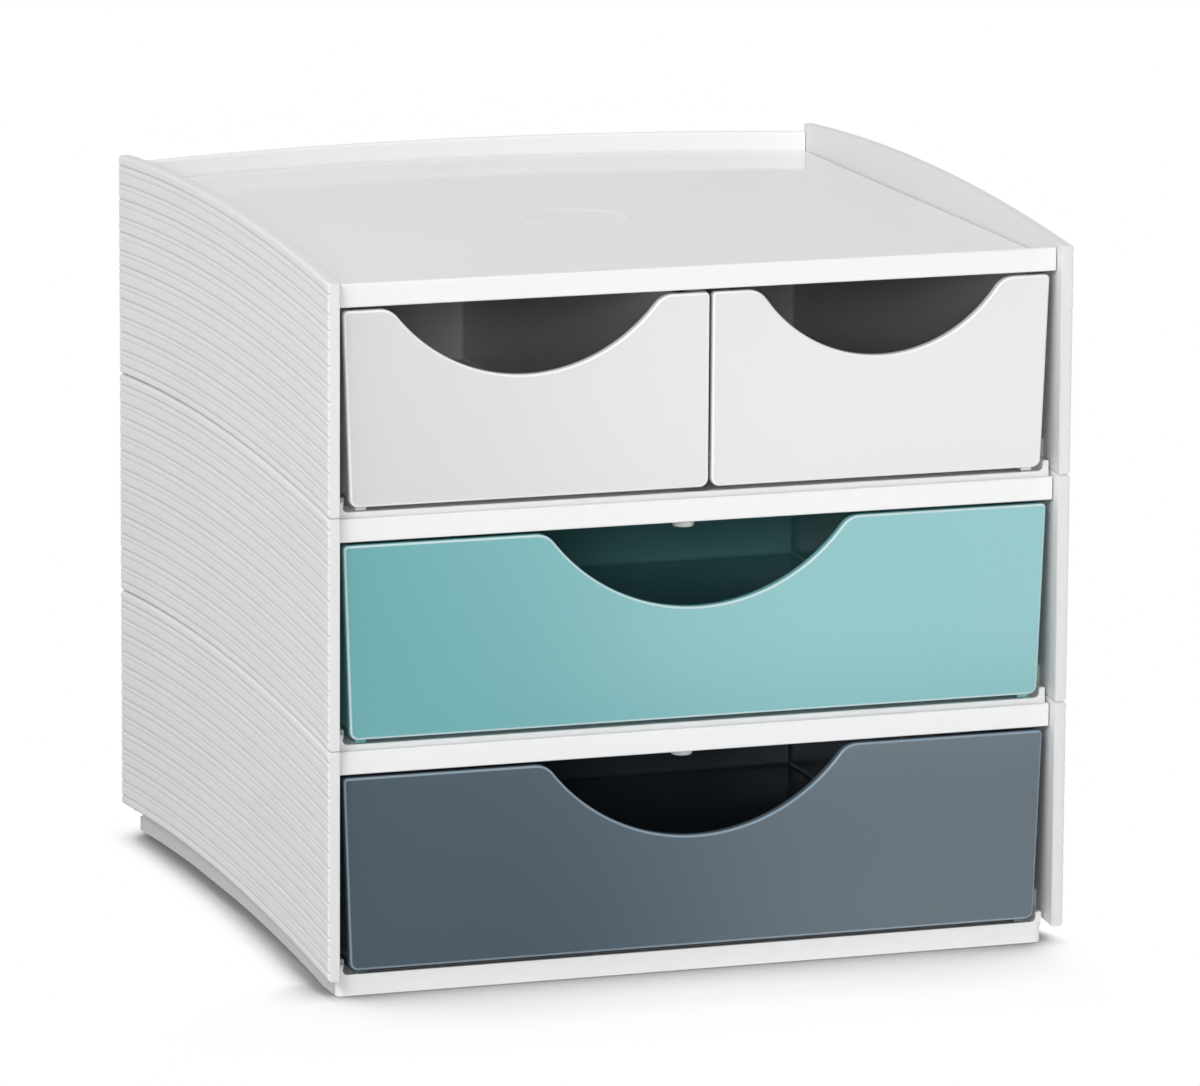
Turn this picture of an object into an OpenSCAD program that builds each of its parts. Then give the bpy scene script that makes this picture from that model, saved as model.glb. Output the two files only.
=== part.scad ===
// Desktop mini drawers: three stacked tiers that hold two half-width and two full-width drawers.
// Millimetres, +Z up, the drawer fronts face -Y. The origin is the middle of the footprint, on the table.

/* [Cabinet] */
// Width over the two side panels
cabinet_w = 264; // [220:1:340]
// Depth of a side panel, front edge to back edge
panel_depth = 256; // [200:1:320]
// Height of one tier
tier_h = 79.1; // [60:0.1:120]
// Rise of the crowned edges from the front corner to their highest point
crown_rise = 7.6; // [3:0.1:12]
// Distance from the front corner back to that highest point
crown_back = 152; // [120:1:170]
// Height of the base under the front corners of the lowest side panels
base_h = 6.7; // [5.5:0.1:10]

/* [Side panels] */
// Thickness of a side panel
side_t = 4.3; // [3:0.1:6]
// Bevel along the outer crowned edges
crown_bevel = 1.2; // [0.5:0.1:2]
// Bevel along the upright front edges
front_bevel = 0.6; // [0.2:0.1:1.2]
// Depth of the decorative grooves in the outer face
groove_depth = 0.45; // [0.2:0.05:1]
// Width of one groove
groove_w = 0.7; // [0.4:0.1:1.2]
// Mean spacing of the grooves
groove_step = 3; // [2.5:0.1:5]
// Open line between two stacked panels
tier_gap = 0.3; // [0.2:0.05:0.6]
// Reach of the inner ledges that carry the plates
ledge_reach = 1.8; // [1.2:0.1:2.1]
// Height of a ledge
ledge_h = 2.2; // [1.5:0.1:4]

/* [Back panels] */
// Thickness of a back panel
back_t = 2.8; // [2:0.1:5]
// Swell of the back panel behind its two ends
back_bulge = 20.3; // [8:0.1:30]
// Height of a back panel's top edge above its tier's front corners
rim_rise = 1.5; // [0.8:0.1:3]

/* [Plates] */
// Depth of the dish below the front corners
dish_depth = 5.6; // [4:0.1:9]
// Thickness of the plate under the dish
plate_t = 2.4; // [1.6:0.1:3.5]
// Setback of the front strip behind the side panels' front edges
strip_setback = 4.5; // [2:0.1:8]
// Thickness of the front strip
strip_t = 2.2; // [1.5:0.1:3.5]
// Drop of the strip's top edge below the front corners
strip_drop = 1.15; // [0.5:0.05:2]
// Height of the front strip
strip_h = 8.05; // [7.5:0.05:14]
// Diameter of the plain round recess in the top plate
badge_d = 40; // [20:1:70]
// Depth of that recess
badge_depth = 0.3; // [0.2:0.05:0.8]
// Distance of its centre behind the front edges
badge_back = 136; // [100:1:150]

/* [Trays] */
// Height of a tray's floor above the front corners of the tier below
floor_rise = 0.6; // [0.3:0.1:2]
// Thickness of a tray's floor
floor_t = 2; // [1.4:0.1:3]
// Width of the side rails that guide a drawer
rail_w = 4.9; // [4:0.1:7]
// Height of the side rails above the front corners of the tier below
rail_rise = 4; // [3:0.1:6]
// Width of the slim posts that end the rails at the front
post_w = 2.1; // [1.5:0.1:3.3]
// Depth of those posts
post_d = 8; // [4:0.5:14]
// Thickness of the front and back skirts
skirt_t = 2.4; // [1.6:0.1:4]
// Thickness of the side skirts
side_skirt_t = 3.8; // [2:0.1:3.9]
// Cut across the two back corners
corner_cut = 7; // [4:0.5:14]

/* [Base] */
// Height of the highest point of the arched sides above the table
arch_h = 5.5; // [3:0.1:7]
// Width of the foot at the back
back_foot_w = 200; // [80:1:210]

/* [Drawers] */
// Distance from the outside of a drawer's back wall to the side panels' back edges
back_clear = 10.5; // [8:0.5:60]
// Thickness of a drawer's face
face_t = 3; // [2:0.1:5]
// Open line between a face and the strip above it
face_gap = 1.1; // [0.6:0.1:2]
// Height of a face's bottom edge above the tray floor
face_lift = 1.8; // [1:0.1:3]
// Open line beside a face at its top corners
side_gap = 2.45; // [1.5:0.05:4]
// How much further in each bottom corner lies than the top corner
face_taper = 2.4; // [0:0.1:5]
// Corner radius at the bottom of a face
face_r_low = 3; // [1:0.1:6]
// Corner radius at the top of a face
face_r_top = 1.5; // [0.5:0.1:4]
// Wall thickness of a drawer box
wall_t = 1.6; // [1.2:0.1:2.5]
// Drop of the box walls below the top of the face
wall_drop = 1.2; // [0.6:0.1:2]
// Height of the box's underside above the bottom of the face
box_lift = 0.7; // [0.3:0.1:2]
// Width of a runner under the box
runner_w = 3.7; // [2:0.1:6]
// Distance of a runner in from the side of the box
runner_in = 1.3; // [0.5:0.1:4]

/* [Finger cut-outs] */
// Half the width of the cut-out in a full-width drawer
wide_cut = 57.6; // [35:0.1:80]
// Depth of the cut-out in a full-width drawer
wide_cut_deep = 28; // [18:0.5:34]
// Distance from the ends of a half-width face to its cut-out
half_cut_in = 12.8; // [12:0.1:25]
// Depth of the cut-out in a half-width drawer
half_cut_deep = 24.5; // [18:0.5:32]
// Radius of the rounded shoulders
shoulder_r = 8; // [4:0.5:8.5]

/* [Half-width drawers] */
// Open line between the two half-width faces
centre_gap = 1; // [0.6:0.1:2]
// Distance of that line right of the middle
centre_shift = 3.6; // [0:0.1:8]
// Distance of a box's inner side in from the end of its face
channel_in = 8.4; // [7:0.1:14]
// Height of the stop tabs on the two back walls
tab_h = 5; // [4:0.1:8]

/* [Centre guide] */
// Height of the guide between the two half-width drawers
guide_h = 12; // [6:0.5:30]
// Wall thickness of the guide
guide_t = 1.6; // [1.2:0.1:2.5]
// Distance of its front end behind the front edges
guide_front = 14; // [12:0.5:30]
// Distance of its back end in front of the outside of the drawers' back walls
guide_back = 5.5; // [4:0.5:100]

/* [Stop pegs] */
// Diameter of a peg's head
peg_d = 7.4; // [5:0.1:9]
// Length of the head below the plate
peg_h = 5.9; // [5:0.1:7.5]
// Diameter of the stem in the plate
stem_d = 4; // [2:0.1:4.5]
// Distance of the pegs behind the front edges
peg_back = 21.6; // [16:0.1:30]

/* [Clearances] */
// Play between a drawer and what it slides on or beside
slide_gap = 0.3; // [0.2:0.05:0.5]
// Play between a plate or back panel and the side panels
plate_gap = 0.5; // [0.3:0.05:0.7]
// Play between a tray and the side panels
tray_gap = 0.9; // [0.6:0.05:1]
// Play of a plate or tray in front of the back panel, and of a tray behind the strip
fit_gap = 0.3; // [0.2:0.05:0.5]
// Play of a stem in its hole
stem_gap = 0.1; // [0.05:0.05:0.3]

/* [Hidden] */
$fn = 96;
// Facets of the very large arcs
arc_fn = 720;
// A hair past a surface, so that cuts go clean through
eps = 0.01;
// How much larger a round is drawn than asked, so that it crosses its neighbours and doesn't only touch them
blend = 0.02;
// Spacing of the grooves, as shares of their mean spacing, repeated down the panel
cadence = [1.2, 0.8, 1.4, 0.6];

// Height of the front corners: table side of the first tier up to the top of the third
level_0 = base_h;
level_1 = level_0 + tier_h;
level_2 = level_1 + tier_h;
level_3 = level_2 + tier_h;

side_in = cabinet_w / 2 - side_t;
crown_r = (crown_back * crown_back + crown_rise * crown_rise) / (2 * crown_rise);

// The back panel's inner face is an arc over the whole clear width, level with the panels' back edges
back_in_y = panel_depth - back_t;
back_r_in = (side_in * side_in + back_bulge * back_bulge) / (2 * back_bulge);
back_r_out = back_r_in + back_t;
back_cy = back_in_y + back_bulge - back_r_in;
depth = back_in_y + back_bulge + back_t;

plate_half = side_in - plate_gap;
tray_half = side_in - tray_gap;
tray_front = strip_setback + strip_t + fit_gap;
rail_in = tray_half - rail_w;
box_half = rail_in - slide_gap;
box_end = panel_depth - back_clear;

// Heights measured from the front corners of the tier that a piece belongs to
plate_low = -dish_depth - plate_t;
face_top = -strip_drop - strip_h - face_gap;
floor_top = floor_rise - tier_h;
face_low = floor_top + face_lift;
face_half = side_in - side_gap;
box_low = face_low + box_lift;
box_top = face_top - wall_drop;

// Puts a piece drawn from the front edges back into the part's frame
module placed(z = 0) {
    translate([0, -depth / 2, z]) children();
}

// Turns an outline drawn as (depth, height) into a slab along X
module across(x, t) {
    translate([x, 0, 0]) rotate([90, 0, 90]) linear_extrude(t) children();
}

// Turns an outline drawn as (width, height) into a slab along Y
module along(y, t) {
    translate([0, y + t, 0]) rotate([90, 0, 0]) linear_extrude(t) children();
}

// Disc whose edge is the crowned line through a front corner at height z
module crown_disc(z, r = crown_r) {
    translate([crown_back, z + crown_rise - crown_r]) circle(r, $fn = arc_fn);
}

// Cone that bevels a crowned edge on the outer face, outside or inside the crowned line
module crown_cone(z, outside) {
    s = outside ? 1 : -1;
    translate([crown_back, z + crown_rise - crown_r, side_t])
        rotate_extrude($fn = arc_fn)
            polygon([[crown_r - s * (crown_bevel + 1), 1], [crown_r + s, 1],
                     [crown_r + s, -crown_bevel - 1]]);
}

// Distance of groove number i below the crowned edge
function groove_at(i) = groove_step * (4 * floor(i / 4) + (i % 4 > 2 ? cadence[3] : 0)
    + (i % 4 > 1 ? cadence[2] : 0) + (i % 4 > 0 ? cadence[1] : 0) + cadence[0]);

// Outline of a side panel, seen from the side, heights from its own front corner
module panel_outline() {
    difference() {
        intersection() {
            translate([0, -tier_h]) square([panel_depth, tier_h + 2 * crown_rise]);
            crown_disc(0);
        }
        crown_disc(tier_gap - tier_h);
    }
}

// Right side panel of one tier, heights from its own front corner
module side_panel() {
    low = -tier_h;
    grooves = [for (i = [0 : floor(tier_h / groove_step)])
        if (groove_at(i) < tier_h - crown_bevel - groove_w) groove_at(i)];
    difference() {
        union() {
            across(side_in, side_t - groove_depth) panel_outline();
            across(side_in + side_t - groove_depth - eps, groove_depth + eps) difference() {
                panel_outline();
                for (g = grooves) difference() {
                    crown_disc(-g, crown_r + groove_w / 2);
                    crown_disc(-g, crown_r - groove_w / 2);
                }
            }
        }
        translate([side_in, 0, 0]) rotate([90, 0, 90]) {
            crown_cone(0, true);
            crown_cone(low + tier_gap, false);
        }
        for (x = [side_in, side_in + side_t])
            translate([x, 0, low]) rotate(45)
                cube([front_bevel * sqrt(2), front_bevel * sqrt(2), 3 * tier_h], center = true);
    }
    // Ledge under the plate
    ledge_front = tray_front + post_d;
    ledge_d = back_in_y - ledge_front - ledge_reach;
    translate([side_in - ledge_reach, ledge_front, plate_low - ledge_h])
        cube([ledge_reach + eps, ledge_d, ledge_h]);
    // Lip that stands on the tray's rail, inside the top of the panel below
    lip_h = crown_rise + tier_gap + ledge_h - rail_rise;
    translate([side_in - ledge_reach, ledge_front, low + rail_rise])
        cube([ledge_reach - fit_gap, ledge_d, lip_h]);
    across(side_in - fit_gap - eps, fit_gap + 2 * eps) intersection() {
        panel_outline();
        translate([ledge_front, low + rail_rise]) square([ledge_d, lip_h]);
    }
}

// Piece of the back arc between two radii and two heights
module back_arc(r0, r1, z0, z1, half) {
    intersection() {
        translate([0, back_cy, z0]) difference() {
            cylinder(r = r1, h = z1 - z0, $fn = arc_fn);
            translate([0, 0, -1]) cylinder(r = r0, h = z1 - z0 + 2, $fn = arc_fn);
        }
        translate([-half, panel_depth / 2, z0 - 1]) cube([2 * half, depth, z1 - z0 + 2]);
    }
}

// Back panel of one tier, heights from the tier's front corners
module back_panel() {
    half = side_in - fit_gap;
    low = rim_rise - tier_h + tier_gap;
    lip = back_r_in - ledge_reach - fit_gap;
    back_arc(back_r_in, back_r_out, low, rim_rise, half);
    back_arc(back_r_in - ledge_reach, back_r_in + eps, plate_low - ledge_h, plate_low, half);
    // Lip that stands on the tray's floor, inside the rim of the tier below
    back_arc(lip, back_r_in + eps, low, low + ledge_h, rail_in);
    back_arc(lip, back_r_in - fit_gap, floor_top, low + eps, rail_in);
}

// Plan shape with straight sides and the back's arc, as a slab
module plan_slab(half, front, r, z0, z1) {
    intersection() {
        translate([-half, front, z0]) cube([2 * half, depth, z1 - z0]);
        translate([0, back_cy, z0 - 1]) cylinder(r = r, h = z1 - z0 + 2, $fn = arc_fn);
    }
}

// Plate of one tier with its front strip, heights from the tier's front corners
module plate(peg_x) {
    difference() {
        union() {
            plan_slab(plate_half, strip_setback, back_r_in - fit_gap, plate_low, -dish_depth);
            translate([-plate_half, strip_setback, -strip_drop - strip_h])
                cube([2 * plate_half, strip_t, strip_h]);
        }
        translate([peg_x, peg_back, plate_low - 1]) cylinder(d = stem_d + 2 * stem_gap, h = plate_t + 2);
    }
}

// Stop peg of one plate
module peg(peg_x) {
    translate([peg_x, peg_back, plate_low - peg_h]) cylinder(d = peg_d, h = peg_h);
    translate([peg_x, peg_back, plate_low - eps]) cylinder(d = stem_d, h = plate_t + eps);
}

// Cuts the two back corners of a tray off at 45 degrees
module cut_corners(r) {
    end_y = back_cy + sqrt(r * r - tray_half * tray_half) - corner_cut;
    long = 8 * corner_cut;
    difference() {
        children();
        for (s = [-1, 1])
            translate([s * tray_half, end_y, -long / 2]) rotate(s > 0 ? 45 : 135)
                translate([0, -long / 2, 0]) cube(long);
    }
}

// Floor, rails and posts shared by the trays and the base, heights from the corners of the tier below
module tray_body(r) {
    under = floor_rise - floor_t;
    rail_front = tray_front + post_d;
    plan_slab(tray_half, tray_front, r, under, floor_rise);
    difference() {
        plan_slab(tray_half, rail_front, back_r_in - fit_gap, under, rail_rise);
        plan_slab(rail_in, rail_front - 1, back_r_in, under - 1, rail_rise + 1);
    }
    for (s = [-1, 1])
        translate([s * (tray_half - post_w / 2), tray_front + post_d / 2, (under + rail_rise) / 2])
            cube([post_w, post_d + eps, rail_rise - under], center = true);
}

// Tray that nests in the dish of the plate below it
module tray() {
    r = back_r_in - fit_gap;
    cut_corners(r) {
        tray_body(r);
        difference() {
            plan_slab(tray_half, tray_front, r, -dish_depth, floor_rise - eps);
            plan_slab(tray_half - side_skirt_t, tray_front + skirt_t, r - skirt_t,
                -dish_depth - 1, floor_rise - floor_t);
        }
    }
}

// Base: a tray with its own rim at the back, arched sides and feet to the table
module base_tray() {
    cut_corners(back_r_out) difference() {
        union() {
            tray_body(back_r_out);
            back_arc(back_r_in, back_r_out, floor_rise - floor_t, rim_rise, tray_half);
            back_arc(back_r_out - skirt_t, back_r_out, -base_h, floor_rise - floor_t + eps, back_foot_w / 2);
            translate([-tray_half, tray_front, -base_h]) cube([2 * tray_half, skirt_t, base_h]);
            difference() {
                plan_slab(tray_half, tray_front, back_r_out, -base_h, floor_rise - eps);
                plan_slab(tray_half - side_skirt_t, tray_front - 1, back_r_out + 1, -base_h - 1, floor_rise);
            }
        }
        // The sides follow the crowned line, so only their front ends reach the table
        for (x = [-tray_half - 1, tray_half - side_skirt_t])
            across(x, side_skirt_t + 1) crown_disc(arch_h - crown_rise - base_h);
    }
}

// Centre of the round of radius r in a corner at p whose side slants in by k per unit of drop
function round_at(p, r, k, s, up) = [p[0] - s * r * (sqrt(1 + k * k) + up * k), p[1] - up * r];

// Outline of a drawer face from x0 to x1, with a taper on each side and a cut-out, top edge at height 0
module face_outline(x0, x1, taper_0, taper_1, cut_half, cut_deep) {
    h = face_top - face_low;
    sides = [[x0, -1, taper_0 / h], [x1, 1, taper_1 / h]];
    difference() {
        polygon([[x0, 0], [x1, 0], [x1 - taper_1, -h], [x0 + taper_0, -h]]);
        for (c = sides) {
            corner_cut_out([c[0], 0], face_r_top, c[2], c[1], 1);
            corner_cut_out([c[0] - c[1] * c[2] * h, -h], face_r_low, c[2], c[1], -1);
        }
        translate([(x0 + x1) / 2, 0]) finger_cut(cut_half, cut_deep);
    }
}

// What rounding takes off a corner: the tip outside the round's two points of touch
module corner_cut_out(p, r, k, s, up) {
    c = round_at(p, r, k, s, up);
    n = sqrt(1 + k * k);
    touch_side = [c[0] + s * r / n, c[1] - r * k / n];
    touch_flat = [c[0], p[1]];
    far = [p[0] + s * 0.5, p[1] + up * 0.5];
    difference() {
        polygon([touch_side, [touch_side[0] + s * 0.5, touch_side[1]], far, [touch_flat[0], far[1]],
                 touch_flat, c]);
        translate(c) circle(r + blend);
    }
}

// Finger cut-out: a shallow round bowl between two rounded shoulders, open at the top
module finger_cut(half, deep) {
    bowl_r = (half * half + deep * deep) / (2 * deep) - shoulder_r;
    share = bowl_r / (bowl_r + shoulder_r);
    tx = half * share;
    ty = bowl_r - deep - (bowl_r - deep + shoulder_r) * share;
    intersection() {
        translate([0, bowl_r - deep]) circle(bowl_r, $fn = 2 * $fn);
        translate([-half, -deep - 1]) square([2 * half, deep + 2]);
    }
    difference() {
        polygon([[0, -deep / 2], [tx, ty], [half, 0], [half, 1], [-half, 1], [-half, 0], [-tx, ty]]);
        for (s = [-1, 1]) translate([s * half, -shoulder_r]) circle(shoulder_r + blend);
    }
}

// Open box behind a face from x0 to x1, with runners at the given places
module drawer_box(x0, x1, runners) {
    face_back = strip_setback + face_t;
    difference() {
        translate([x0, face_back - eps, box_low]) cube([x1 - x0, box_end - face_back + eps, box_top - box_low]);
        translate([x0 + wall_t, face_back - 1, box_low + wall_t])
            cube([x1 - x0 - 2 * wall_t, box_end - face_back - wall_t + 1, box_top - box_low]);
    }
    runner_low = floor_top + slide_gap;
    for (r = runners)
        translate([r[0], r[1], runner_low]) cube([runner_w, box_end - r[1], box_low - runner_low + eps]);
}

// Full-width drawer
module wide_drawer() {
    along(strip_setback, face_t) translate([0, face_top])
        face_outline(-face_half, face_half, face_taper, face_taper, wide_cut, wide_cut_deep);
    inset = runner_in + runner_w;
    drawer_box(-box_half, box_half,
        [[-box_half + runner_in, strip_setback + face_t - eps], [box_half - inset, strip_setback + face_t - eps]]);
}

// Half-width drawer: s is -1 for the left one and 1 for the right one
module half_drawer(s) {
    inner = centre_shift + s * centre_gap / 2;
    outer = s * face_half;
    box_inner = inner + s * channel_in;
    box_outer = s * box_half;
    cut_half = abs(outer - inner) / 2 - half_cut_in;
    outer_runner = s < 0 ? box_outer + runner_in : box_outer - runner_in - runner_w;
    inner_runner = s < 0 ? box_inner - runner_in - runner_w : box_inner + runner_in;
    along(strip_setback, face_t) translate([0, face_top])
        face_outline(min(inner, outer), max(inner, outer), s < 0 ? face_taper : 0, s < 0 ? 0 : face_taper,
            cut_half, half_cut_deep);
    drawer_box(min(box_inner, box_outer), max(box_inner, box_outer),
        [[outer_runner, strip_setback + face_t - eps], [inner_runner, guide_front]]);
    // Tab that reaches from the back wall into the channel, to meet the stop peg
    translate([s < 0 ? box_inner - eps : inner, box_end - wall_t, box_top - tab_h])
        cube([channel_in + eps, wall_t, tab_h]);
}

module base() {
    color("#f1f1f1") placed(level_0) base_tray();
}

module tray_middle() {
    color("#f1f1f1") placed(level_1) tray();
}

module tray_top() {
    color("#f1f1f1") placed(level_2) tray();
}

module side_bottom_right() {
    color("#d6d6d6") placed(level_1) side_panel();
}

module side_middle_right() {
    color("#d6d6d6") placed(level_2) side_panel();
}

module side_top_right() {
    color("#d6d6d6") placed(level_3) side_panel();
}

module side_bottom_left() {
    mirror([1, 0, 0]) side_bottom_right();
}

module side_middle_left() {
    mirror([1, 0, 0]) side_middle_right();
}

module side_top_left() {
    mirror([1, 0, 0]) side_top_right();
}

module back_bottom() {
    color("#e0e0e0") placed(level_1) back_panel();
}

module back_middle() {
    color("#e0e0e0") placed(level_2) back_panel();
}

module back_top() {
    color("#e0e0e0") placed(level_3) back_panel();
}

module plate_bottom() {
    color("#f4f4f4") placed(level_1) plate(0);
}

module plate_middle() {
    color("#f4f4f4") placed(level_2) plate(0);
}

module plate_top() {
    color("#f4f4f4") placed(level_3) difference() {
        plate(centre_shift);
        translate([0, badge_back, -dish_depth - badge_depth]) cylinder(d = badge_d, h = badge_depth + 1);
    }
}

module peg_bottom() {
    color("#d0d0d0") placed(level_1) peg(0);
}

module peg_middle() {
    color("#d0d0d0") placed(level_2) peg(0);
}

module peg_top() {
    color("#d0d0d0") placed(level_3) peg(centre_shift);
}

module centre_guide() {
    half = centre_gap / 2 + channel_in - slide_gap;
    len = box_end - guide_back - guide_front;
    color("#f1f1f1") placed(level_2) translate([centre_shift, guide_front, floor_rise]) difference() {
        translate([-half, 0, 0]) cube([2 * half, len, guide_h]);
        translate([guide_t - half, -1, -1]) cube([2 * (half - guide_t), len + 2, guide_h - guide_t + 1]);
    }
}

module drawer_bottom() {
    color("#63717d") placed(level_1) wide_drawer();
}

module drawer_middle() {
    color("#8dbdc2") placed(level_2) wide_drawer();
}

module drawer_top_left() {
    color("#f3f3f3") placed(level_3) half_drawer(-1);
}

module drawer_top_right() {
    color("#f3f3f3") placed(level_3) half_drawer(1);
}

base();
tray_middle();
tray_top();
side_bottom_left();
side_bottom_right();
side_middle_left();
side_middle_right();
side_top_left();
side_top_right();
back_bottom();
back_middle();
back_top();
plate_bottom();
plate_middle();
plate_top();
peg_bottom();
peg_middle();
peg_top();
centre_guide();
drawer_bottom();
drawer_middle();
drawer_top_left();
drawer_top_right();
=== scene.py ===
"""Dresses the desktop mini drawers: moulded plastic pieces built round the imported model."""
import math

import bmesh
import bpy
from mathutils import Matrix, Vector


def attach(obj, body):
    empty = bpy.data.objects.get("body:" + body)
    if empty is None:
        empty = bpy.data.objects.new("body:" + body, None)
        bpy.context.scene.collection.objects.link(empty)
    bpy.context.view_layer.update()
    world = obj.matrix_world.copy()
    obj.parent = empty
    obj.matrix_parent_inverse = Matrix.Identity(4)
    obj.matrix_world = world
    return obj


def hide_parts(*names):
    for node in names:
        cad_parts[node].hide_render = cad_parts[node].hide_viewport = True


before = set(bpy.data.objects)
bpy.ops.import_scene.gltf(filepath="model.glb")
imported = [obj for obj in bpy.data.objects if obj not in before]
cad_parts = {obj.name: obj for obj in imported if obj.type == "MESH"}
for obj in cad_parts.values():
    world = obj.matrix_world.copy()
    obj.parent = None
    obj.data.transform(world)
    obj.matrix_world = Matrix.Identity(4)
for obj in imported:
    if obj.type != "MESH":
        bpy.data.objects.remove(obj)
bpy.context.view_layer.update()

# ---- Sizes in millimetres -------------------------------------------------------------------
# y runs back from the side panels' front edges, and z up from the front corners of the tier that a
# piece belongs to. Trays and the base count z from the line under their tier.
DEPTH = 276.3
TIER = 79.1
BASE = 6.7
BOTTOM, MIDDLE, TOP = BASE + TIER, BASE + 2 * TIER, BASE + 3 * TIER
TIERS = (("bottom", BOTTOM), ("middle", MIDDLE), ("top", TOP))
# Play between two pieces, the gap between two stacked panels, and the slack with which edges are
# picked by their place. Shapes of one piece reach a few tenths of a millimetre into each other, and
# faces that would lie in one plane stand a hair apart.
PLAY, SEAM, NEAR = 0.3, 0.3, 0.01

# Side panels, whose upper and lower edges follow the crown, a wide arc
SIDE_IN, SIDE_OUT, PANEL_DEPTH = 127.7, 132.0, 256.0
CROWN_RISE, CROWN_BACK = 7.6, 152.0
CROWN_R = (CROWN_BACK ** 2 + CROWN_RISE ** 2) / (2 * CROWN_RISE)
ROUND_OUT, ROUND_IN, ROUND_IN_BEND, ROUND_UPRIGHT = 1.3, 0.3, 0.1, 0.7
# Cuts across a panel: close together along its upright edges' roundings, and 8 mm apart between them
CUT_STEP = 8
CUTS = [0.12, 0.35, 0.7, 1.2]
CUTS += [CUT_STEP * i for i in range(1, 32)]
CUTS += [PANEL_DEPTH - 1.2, PANEL_DEPTH - 0.35]

# Grooves: their usual spacing, and the share of it and of the depth that each one has, in turns of four
GROOVE_STEP = 3.0
CADENCE = [1.2, 0.8, 1.4, 0.6]
DEPTHS = [1.0, 0.6, 0.85, 0.5]
# Plain strip left under the last groove, with the panel's rounding
LAST_STRIP = 2.6
# One groove from top to bottom: distance from its middle, depth under the ribs' crowns
GROOVE = [(-0.9, 0.02), (-0.55, 0.1), (-0.3, 0.3), (0.0, 0.4), (0.2, 0.3), (0.4, 0.1), (0.9, 0.02)]
# Painted shade, the second colour, starts this deep in a groove and is full a little deeper
SHADE_FROM, SHADE_OVER = 0.1, 0.2
# Height of the painted shade along the joint between two panels
SEAM_LINE = 0.6
# Full share of the second colour, where shade is painted in full
SHADE = 1.0
# Outer skin that holds the grooves, and the plain edges above and below them
SKIN, PLAIN_EDGE = 0.6, 1.5
# Depth to which the uprights' rounding reaches into the outside, and the part of it that moves less
EASED, EASED_LESS = 1.2, 0.6

# Back panels, arcs in plan with their rim above the plate
BACK_T, BULGE, RIM = 2.8, 20.3, 1.5
BACK_IN = PANEL_DEPTH - BACK_T
BACK_R = (SIDE_IN ** 2 + BULGE ** 2) / (2 * BULGE)
BACK_CY = BACK_IN + BULGE - BACK_R

# Plates with their front strips, and the ledges that carry them
DISH, PLATE_T, PLATE_HALF = 5.6, 2.4, 127.2
PLATE_LOW = -DISH - PLATE_T
STRIP_Y, STRIP_T, STRIP_TOP, STRIP_LOW = 4.5, 2.2, -1.15, -9.2
LEDGE, LEDGE_H = 1.8, 2.2
RECESS_D, RECESS_BACK, RECESS_DEEP = 40.0, 136.0, 0.3
# Low bead along the recess's edge and the slope down to its floor: radius, height over the plate
BEAD = [(19.6, 0.1), (19.1, 0.2), (18.4, 0.24), (17.7, 0.2), (17.0, 0.05), (16.2, -0.15), (15.5, -0.25),
        (14.8, -RECESS_DEEP)]

# Trays and the base: floor, side rails, front posts and skirts
FLOOR, FLOOR_T, RAIL_TOP, RAIL_IN = 0.6, 2.0, 4.0, 121.9
TRAY_HALF, TRAY_FRONT, POST_W, POST_D, FILLET = 126.8, 7.0, 2.1, 8.0, 1.6
SKIRT, SIDE_SKIRT, CORNER_CUT = 2.4, 3.8, 7.0
ARCH_H, BACK_FOOT, BASE_CORNER = 5.5, 200.0, 2.2

# Drawers: face, finger cut-out, box, runners and the tab that meets the stop peg
FACE_TOP, FACE_LOW, FACE_T, FACE_HALF, FACE_TAPER = -10.3, -76.7, 3.0, 125.25, 2.4
CORNER_TOP, CORNER_LOW, SHOULDER = 1.5, 3.0, 8.0
WIDE_CUT_HALF, WIDE_CUT_DEEP = 57.6, 28.0
SMALL_CUT_EDGE, SMALL_CUT_DEEP = 12.8, 24.5
BOX_HALF, BOX_END, BOX_LOW, BOX_TOP, WALL, BOX_CORNER = 121.6, 245.5, -76.0, -11.5, 1.6, 3.0
RUNNER_LOW, RUNNER_W, RUNNER_IN = -78.2, 3.7, 1.3
TAB_H, TAB_ROOT = 5.0, 0.8
# The box and the runners start inside the face, and the painted highlight runs along its front rounding
BOX_FRONT, RUNNER_FRONT = STRIP_Y + FACE_T - 0.6, STRIP_Y + FACE_T - 0.5
PAINTED_HIGHLIGHT_FROM, PAINTED_HIGHLIGHT_TO = STRIP_Y + 0.05, STRIP_Y + 0.4

# Gap between the half-width drawers, the channel behind it, its guide and the stop pegs
CENTRE, CENTRE_GAP, CHANNEL = 3.6, 1.0, 8.4
GUIDE_FRONT, GUIDE_LEN, GUIDE_H, GUIDE_T, GUIDE_ROUND = 14.0, 226.0, 12.0, 1.6, 0.8
PEG_D, PEG_H, PEG_BACK, PEG_ROUND = 7.4, 5.9, 21.6, 0.7
STEM_D, STEM_SINK = 4.0, 0.4


def crown(y):
    """Height of the crowned line at a distance behind the front edges."""
    return CROWN_RISE - CROWN_R + math.sqrt(CROWN_R ** 2 - (y - CROWN_BACK) ** 2)


# ---- Mesh helpers ---------------------------------------------------------------------------
def verts_in(geom):
    """The vertices among mixed geometry."""
    return [g for g in geom if isinstance(g, bmesh.types.BMVert)]


def line_to(bm, vert, **place):
    """Carries an outline on by a straight edge to a new place on the axes named."""
    new = bmesh.ops.extrude_vert_indiv(bm, verts=[vert])["verts"][0]
    for axis, value in place.items():
        setattr(new.co, axis, value)
    return new


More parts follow.
